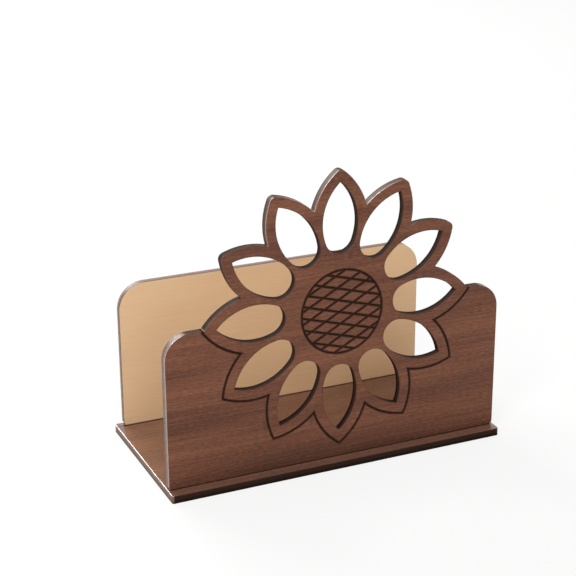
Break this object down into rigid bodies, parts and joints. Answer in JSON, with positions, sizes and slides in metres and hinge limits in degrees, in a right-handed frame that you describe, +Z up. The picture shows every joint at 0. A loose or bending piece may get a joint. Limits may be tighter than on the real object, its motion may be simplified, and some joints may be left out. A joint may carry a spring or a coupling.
{
  "type": "napkin holder",
  "caption": "Laser-cut wooden napkin holder: a tall front panel cut and engraved as a sunflower and a low plain back panel stand in slots in a base board, with walnut show faces.",
  "frame": {"origin": "centre of the base's underside", "axes": "+X along the slot for the napkins, to the right seen from the front; +Y to the back, from the front panel towards the back panel; +Z up"},
  "size_m": [0.178, 0.087, 0.1508],
  "materials": {
    "walnut_face": "satin walnut veneer with engraved lines burnt dark",
    "board_light": "bare light wood, cut edges browned by the laser",
    "board_browned": "light wood whose many cut edges are browned by the laser"
  },
  "bodies": {
    "root": {"base_board": "board_light", "base_walnut_face": "walnut_face", "front_panel_board": "board_browned", "front_walnut_face": "walnut_face", "back_panel_board": "board_light", "back_walnut_face": "walnut_face"}
  },
  "joints": []
}
